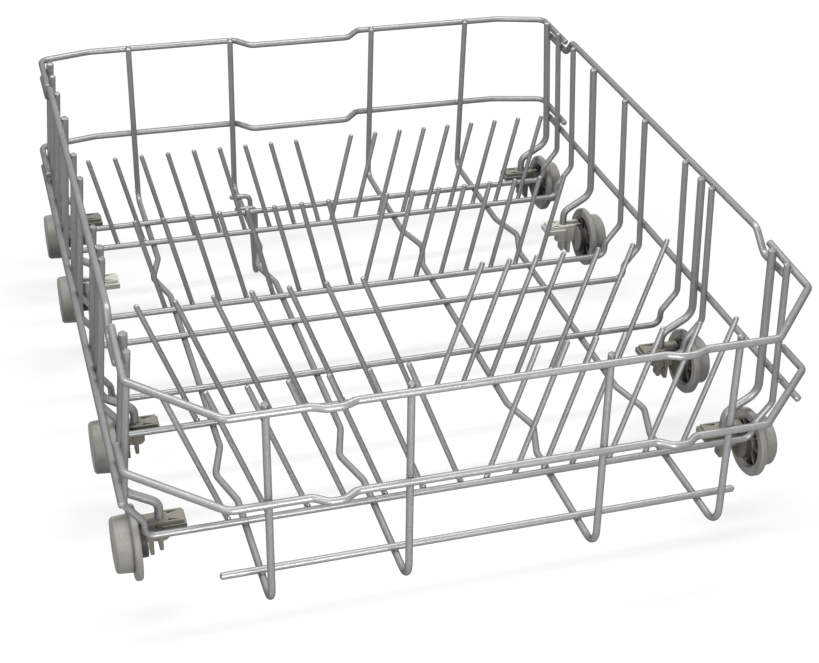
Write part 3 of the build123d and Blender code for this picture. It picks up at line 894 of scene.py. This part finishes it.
def lay_floor(stage):
    """A pale floor just under the basket, white to the eye but for a soft shadow."""
    half = stage.floor_size / 2
    z = CAD_BOX[0][2] - FLOOR_DROP
    mesh = bpy.data.meshes.new("floor")
    corners = [(-half, -half, z), (half, -half, z), (half, half, z), (-half, half, z)]
    mesh.from_pydata(corners, [], [(0, 1, 2, 3)])
    floor = bpy.data.objects.new("floor", mesh)
    bpy.context.scene.collection.objects.link(floor)
    material = bpy.data.materials.new("floor_white")
    material.use_nodes = True
    tree = material.node_tree
    tree.nodes.clear()
    matt = add_node(tree, "ShaderNodeBsdfDiffuse")
    matt.inputs["Color"].default_value = (*stage.floor_colour, 1)
    shade = add_node(tree, "ShaderNodeBsdfDiffuse")
    shade.inputs["Color"].default_value = (*[stage.floor_shade] * 3, 1)
    place = add_node(tree, "ShaderNodeTexCoord")
    away = add_node(tree, "ShaderNodeVectorMath", operation="LENGTH")
    tree.links.new(place.outputs["Object"], away.inputs[0])
    glow = add_node(tree, "ShaderNodeEmission")
    fade = spread(tree, away.outputs["Value"], stage.fade_start, stage.fade_end, stage.floor_glow, 1.0)
    tree.links.new(fade, glow.inputs["Strength"])
    shown = add_node(tree, "ShaderNodeAddShader")
    either = add_node(tree, "ShaderNodeMixShader")
    result = add_node(tree, "ShaderNodeOutputMaterial")
    tree.links.new(shade.outputs[0], shown.inputs[0])
    tree.links.new(glow.outputs[0], shown.inputs[1])
    tree.links.new(seen_directly(tree), either.inputs[0])
    tree.links.new(matt.outputs[0], either.inputs[1])
    tree.links.new(shown.outputs[0], either.inputs[2])
    tree.links.new(either.outputs[0], result.inputs["Surface"])
    mesh.materials.append(material)


def light_sky(stage):
    """Even light from all round, white to the eye."""
    world = bpy.data.worlds.new("studio")
    bpy.context.scene.world = world
    world.use_nodes = True
    tree = world.node_tree
    sky = tree.nodes["Background"]
    sky.inputs["Color"].default_value = (1, 1, 1, 1)
    strength = spread(tree, seen_directly(tree), 0.0, 1.0, stage.sky, 1.0)
    tree.links.new(strength, sky.inputs["Strength"])


def hang_lamp(name, place, aim, size, power):
    """A rectangular lamp that looks from its place at its aim."""
    data = bpy.data.lights.new(name, "AREA")
    data.shape = "RECTANGLE"
    data.size, data.size_y = size
    data.energy = power
    lamp = bpy.data.objects.new(name, data)
    lamp.location = place
    lamp.rotation_euler = (Vector(aim) - Vector(place)).to_track_quat("-Z", "Y").to_euler()
    bpy.context.scene.collection.objects.link(lamp)


def place_camera(stage):
    """The camera at the photograph's angle."""
    data = bpy.data.cameras.new("camera")
    data.sensor_fit = "HORIZONTAL"
    data.sensor_width = SENSOR_WIDTH
    data.lens = stage.lens
    camera = bpy.data.objects.new("camera", data)
    place = Vector(stage.camera_place)
    look = (Vector(stage.camera_aim) - place).to_track_quat("-Z", "Y")
    camera.rotation_euler = (look @ Quaternion((0, 0, 1), stage.camera_roll)).to_euler()
    camera.location = place
    bpy.context.scene.collection.objects.link(camera)
    bpy.context.scene.camera = camera


# Panel and registration


OPERATORS = (
    BASKET_OT_coat_wires,
    BASKET_OT_weld_fillets,
    BASKET_OT_tine_feet,
    BASKET_OT_tine_tips,
    BASKET_OT_finish_rollers,
    BASKET_OT_finish_carriers,
    BASKET_OT_set_stage,
)
SETTINGS = {
    "basket_wires": WireFinish,
    "basket_welds": WeldSizes,
    "basket_plastic": PlasticFinish,
    "basket_stage": StageSettings,
}


class BASKET_PT_panel(bpy.types.Panel):
    """Lists the basket's steps and settings"""

    bl_label = "Basket"
    bl_idname = "BASKET_PT_panel"
    bl_space_type = "VIEW_3D"
    bl_region_type = "UI"
    bl_category = "Basket"

    def draw(self, context):
        for operator in OPERATORS:
            self.layout.operator(operator.bl_idname)
        for name, group in SETTINGS.items():
            box = self.layout.box()
            for title in group.__annotations__:
                box.prop(getattr(context.scene, name), title)


def register():
    for group in SETTINGS.values():
        bpy.utils.register_class(group)
    for operator in OPERATORS:
        bpy.utils.register_class(operator)
    bpy.utils.register_class(BASKET_PT_panel)
    for name, group in SETTINGS.items():
        setattr(bpy.types.Scene, name, PointerProperty(type=group))


def unregister():
    for name in SETTINGS:
        delattr(bpy.types.Scene, name)
    bpy.utils.unregister_class(BASKET_PT_panel)
    for operator in reversed(OPERATORS):
        bpy.utils.unregister_class(operator)
    for group in SETTINGS.values():
        bpy.utils.unregister_class(group)


def main():
    register()
    bpy.ops.basket.coat_wires()
    bpy.ops.basket.weld_fillets()
    bpy.ops.basket.tine_feet()
    bpy.ops.basket.tine_tips()
    bpy.ops.basket.finish_rollers()
    bpy.ops.basket.finish_carriers()
    bpy.ops.basket.set_stage()


if __name__ == "__main__":
    main()
